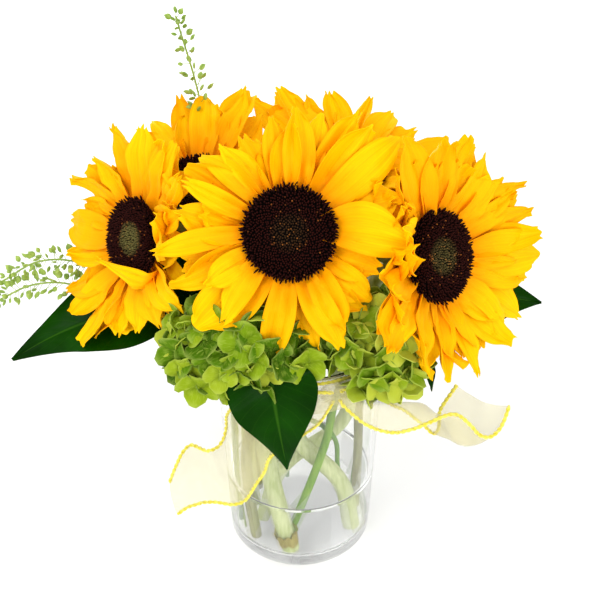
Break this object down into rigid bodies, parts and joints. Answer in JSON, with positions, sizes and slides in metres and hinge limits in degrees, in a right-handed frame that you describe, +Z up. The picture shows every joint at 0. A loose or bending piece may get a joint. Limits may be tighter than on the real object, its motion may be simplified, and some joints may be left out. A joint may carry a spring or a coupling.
{
  "type": "sunflowers in a vase",
  "caption": "Large yellow sunflowers with green hydrangea, glossy leaves and seed-pod sprigs in a clear straight glass vase of water, ribbon tied round the neck.",
  "frame": {"origin": "middle of the vase's flat foot, where it stands", "axes": "+Z up, -Y towards the front of the arrangement, +X to the right as it is looked at from the front"},
  "size_m": [0.3594, 0.2164, 0.3432],
  "materials": {
    "vase_glass": "clear smooth glass with a thick base",
    "water": "clear still water",
    "stem_green": "fresh green stem, fine ribs and hairs",
    "petal_yellow": "golden yellow petal, orange towards the base, lengthwise veins",
    "disc_brown": "dark brown seed disc, velvety, with gold specks",
    "floret_lime": "matt lime green florets with paler edges",
    "woody_stem": "smooth pale green to brown woody stem",
    "leaf_green": "dark green glossy leaf with a pale midrib",
    "sprig_green": "flat pale green seed pods on thin stalks",
    "ribbon_cream": "sheer cream ribbon with lemon yellow cord edges"
  },
  "bodies": {
    "root": {"vase": "vase_glass", "water": "water", "sunflower_front_stem": "stem_green", "sunflower_front_petals": "petal_yellow", "sunflower_front_disc": "disc_brown", "sunflower_right_stem": "stem_green", "sunflower_right_petals": "petal_yellow", "sunflower_right_disc": "disc_brown", "sunflower_left_stem": "stem_green", "sunflower_left_petals": "petal_yellow", "sunflower_left_disc": "disc_brown", "sunflower_backLeft_stem": "stem_green", "sunflower_backLeft_petals": "petal_yellow", "sunflower_backLeft_disc": "disc_brown", "sunflower_back_stem": "stem_green", "sunflower_back_petals": "petal_yellow", "sunflower_back_disc": "disc_brown", "hydrangea_front_left_stem": "woody_stem", "hydrangea_front_left_florets": "floret_lime", "hydrangea_front_right_stem": "woody_stem", "hydrangea_front_right_florets": "floret_lime", "hydrangea_back_right_stem": "woody_stem", "hydrangea_back_right_florets": "floret_lime", "hydrangea_back_left_stem": "woody_stem", "hydrangea_back_left_florets": "floret_lime", "leaves_front": "leaf_green", "leaves_left": "leaf_green", "leaves_right": "leaf_green", "leaves_back": "leaf_green", "sprig_top": "sprig_green", "sprig_left_upper": "sprig_green", "sprig_left_lower": "sprig_green", "ribbon_band": "ribbon_cream", "ribbon_knot": "ribbon_cream", "ribbon_left_tail": "ribbon_cream", "ribbon_right_tail": "ribbon_cream"}
  },
  "joints": []
}
